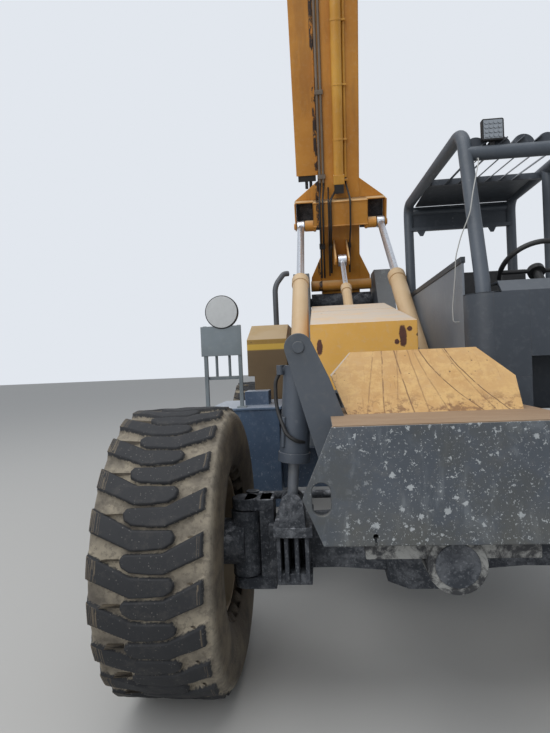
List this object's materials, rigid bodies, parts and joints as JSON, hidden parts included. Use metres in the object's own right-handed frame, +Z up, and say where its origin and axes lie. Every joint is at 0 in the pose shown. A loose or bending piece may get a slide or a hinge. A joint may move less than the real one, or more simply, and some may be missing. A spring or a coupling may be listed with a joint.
{
  "type": "telehandler",
  "caption": "Rough-terrain telehandler with a raised telescopic boom, open cab on its left, levelling forks, big lugged tyres and steered axles.",
  "frame": {"origin": "on the ground under the middle of the whole bounding box", "axes": "+Z up, the machine faces -Y, +X to its left side"},
  "size_m": [2.59, 5.0186, 7.3914],
  "materials": {
    "boom_paint": "satin",
    "cast_iron": "matte",
    "chrome": "polished",
    "cover_paint": "satin",
    "cylinder_paint": "satin",
    "fork_steel": "matte",
    "frame_paint": "satin",
    "seat_vinyl": "satin",
    "tank_paint": "satin",
    "tyre_rubber": "matte",
    "wheel_steel": "matte"
  },
  "bodies": {
    "chassis": {"main_frame": "frame_paint", "front_cover": "cover_paint", "mid_cover": "cover_paint", "counterweight": "frame_paint", "tow_hitch": "frame_paint", "hydraulic_tank": "tank_paint", "mirror": "frame_paint", "engine_hood": "cover_paint", "engine_block": "cast_iron", "exhaust_pipe": "cast_iron", "cab_floor": "frame_paint", "cab_frame": "frame_paint", "cab_roof_guard": "frame_paint", "cab_side_panel": "frame_paint", "cab_front_panel": "frame_paint", "cab_rear_panel": "frame_paint", "seat": "seat_vinyl", "dash_console": "frame_paint", "steering_wheel": "seat_vinyl", "work_lamp": "frame_paint", "sway_barrel": "frame_paint", "rear_axle": "cast_iron"},
    "front_axle": {"front_axle": "cast_iron"},
    "sway_rod": {"sway_rod": "chrome"},
    "front_tie_rod": {"front_tie_rod": "chrome"},
    "rear_tie_rod": {"rear_tie_rod": "chrome"},
    "boom_outer": {"boom_outer": "boom_paint", "hose_track_cover": "boom_paint", "extension_barrel": "boom_paint"},
    "boom_middle": {"boom_middle": "boom_paint"},
    "boom_inner": {"boom_inner": "boom_paint"},
    "level_pin": {"level_pin": "cast_iron"},
    "carriage": {"carriage": "frame_paint", "forks": "fork_steel"},
    "lift_barrels": {"lift_barrels": "cylinder_paint"},
    "lift_rods": {"lift_rods": "chrome"},
    "slave_barrel": {"slave_barrel": "cylinder_paint"},
    "slave_rod": {"slave_rod": "chrome"},
    "front_left_knuckle": {"front_left_knuckle": "cast_iron"},
    "front_left_wheel": {"front_left_tyre": "tyre_rubber", "front_left_rim": "wheel_steel"},
    "front_right_knuckle": {"front_right_knuckle": "cast_iron"},
    "front_right_wheel": {"front_right_tyre": "tyre_rubber", "front_right_rim": "wheel_steel"},
    "rear_left_knuckle": {"rear_left_knuckle": "cast_iron"},
    "rear_left_wheel": {"rear_left_tyre": "tyre_rubber", "rear_left_rim": "wheel_steel"},
    "rear_right_knuckle": {"rear_right_knuckle": "cast_iron"},
    "rear_right_wheel": {"rear_right_tyre": "tyre_rubber", "rear_right_rim": "wheel_steel"}
  },
  "joints": [
    {"name": "boom_lift", "type": "hinge", "parent": "chassis", "child": "boom_outer", "pos_m": [-0.18, 1.95926, 2.13], "axis": [-1, 0, 0], "range_deg": [-69.5, 4]},
    {"name": "boom_extend", "type": "slide", "parent": "boom_outer", "child": "boom_middle", "axis": [0, -0.4067, 0.9135], "range_m": [0, 3.6]},
    {"name": "boom_fly_extend", "type": "slide", "parent": "boom_middle", "child": "boom_inner", "axis": [0, -0.4067, 0.9135], "range_m": [0, 3.601]},
    {"name": "carriage_level", "type": "hinge", "parent": "boom_inner", "child": "level_pin", "pos_m": [-0.18, -1.11926, 6.75796], "axis": [-1, 0, 0], "range_deg": [-4, 69.51]},
    {"name": "carriage_tilt", "type": "hinge", "parent": "level_pin", "child": "carriage", "pos_m": [-0.18, -1.11926, 6.75796], "axis": [1, 0, 0], "range_deg": [-12, 37]},
    {"name": "lift_barrel_swing", "type": "hinge", "parent": "chassis", "child": "lift_barrels", "pos_m": [-0.18, -0.68074, 1.25], "axis": [1, 0, 0], "range_deg": [-16.2, 0.93]},
    {"name": "lift_rod_slide", "type": "slide", "parent": "lift_barrels", "child": "lift_rods", "axis": [0, 0.7975, 0.6034], "range_m": [-0.79424, 0.04571]},
    {"name": "slave_barrel_swing", "type": "hinge", "parent": "chassis", "child": "slave_barrel", "pos_m": [-0.18, -0.05574, 1.45], "axis": [1, 0, 0], "range_deg": [-26.44, 1.52]},
    {"name": "slave_rod_slide", "type": "slide", "parent": "slave_barrel", "child": "slave_rod", "axis": [0, 0.8101, 0.5862], "range_m": [-0.25421, 0.01463]},
    {"name": "axle_sway", "type": "hinge", "parent": "chassis", "child": "front_axle", "pos_m": [0, -1.51574, 0.7], "axis": [0, 1, 0], "range_deg": [-8, 8]},
    {"name": "sway_rod_slide", "type": "slide", "parent": "chassis", "child": "sway_rod", "axis": [0, 0, 1], "range_m": [-0.07655, 0.07655]},
    {"name": "front_steer", "type": "hinge", "parent": "front_axle", "child": "front_left_knuckle", "pos_m": [0.83, -1.51574, 0.64], "axis": [0, 0, 1], "range_deg": [-30, 30]},
    {"name": "front_right_steer", "type": "hinge", "parent": "front_axle", "child": "front_right_knuckle", "pos_m": [-0.83, -1.51574, 0.64], "axis": [0, 0, 1], "range_deg": [-30, 30]},
    {"name": "front_tie_rod_slide", "type": "slide", "parent": "front_axle", "child": "front_tie_rod", "axis": [-1, 0, 0], "range_m": [-0.08251, 0.08251]},
    {"name": "front_left_wheel_spin", "type": "hinge", "parent": "front_left_knuckle", "child": "front_left_wheel", "pos_m": [1.09, -1.51574, 0.64], "axis": [1, 0, 0], "continuous": true},
    {"name": "front_right_wheel_spin", "type": "hinge", "parent": "front_right_knuckle", "child": "front_right_wheel", "pos_m": [-1.09, -1.51574, 0.64], "axis": [1, 0, 0], "continuous": true},
    {"name": "rear_steer", "type": "hinge", "parent": "chassis", "child": "rear_left_knuckle", "pos_m": [0.83, 1.63426, 0.64], "axis": [0, 0, 1], "range_deg": [-30, 30]},
    {"name": "rear_right_steer", "type": "hinge", "parent": "chassis", "child": "rear_right_knuckle", "pos_m": [-0.83, 1.63426, 0.64], "axis": [0, 0, 1], "range_deg": [-30, 30]},
    {"name": "rear_tie_rod_slide", "type": "slide", "parent": "chassis", "child": "rear_tie_rod", "axis": [1, 0, 0], "range_m": [-0.08251, 0.08251]},
    {"name": "rear_left_wheel_spin", "type": "hinge", "parent": "rear_left_knuckle", "child": "rear_left_wheel", "pos_m": [1.09, 1.63426, 0.64], "axis": [1, 0, 0], "continuous": true},
    {"name": "rear_right_wheel_spin", "type": "hinge", "parent": "rear_right_knuckle", "child": "rear_right_wheel", "pos_m": [-1.09, 1.63426, 0.64], "axis": [1, 0, 0], "continuous": true}
  ],
  "couplings": [
    {"joint": "boom_fly_extend", "follows": "boom_extend", "ratio": 1},
    {"joint": "carriage_level", "follows": "boom_lift", "ratio": -1},
    {"joint": "lift_barrel_swing", "follows": "boom_lift", "ratio": 0.2331},
    {"joint": "lift_rod_slide", "follows": "boom_lift", "m_per_rad": 0.65471},
    {"joint": "slave_barrel_swing", "follows": "boom_lift", "ratio": 0.38037},
    {"joint": "slave_rod_slide", "follows": "boom_lift", "m_per_rad": 0.20955},
    {"joint": "sway_rod_slide", "follows": "axle_sway", "m_per_rad": 0.54821},
    {"joint": "front_right_steer", "follows": "front_steer", "ratio": 1},
    {"joint": "front_tie_rod_slide", "follows": "front_steer", "m_per_rad": 0.15756},
    {"joint": "rear_right_steer", "follows": "rear_steer", "ratio": 1},
    {"joint": "rear_tie_rod_slide", "follows": "rear_steer", "m_per_rad": 0.15756}
  ]
}
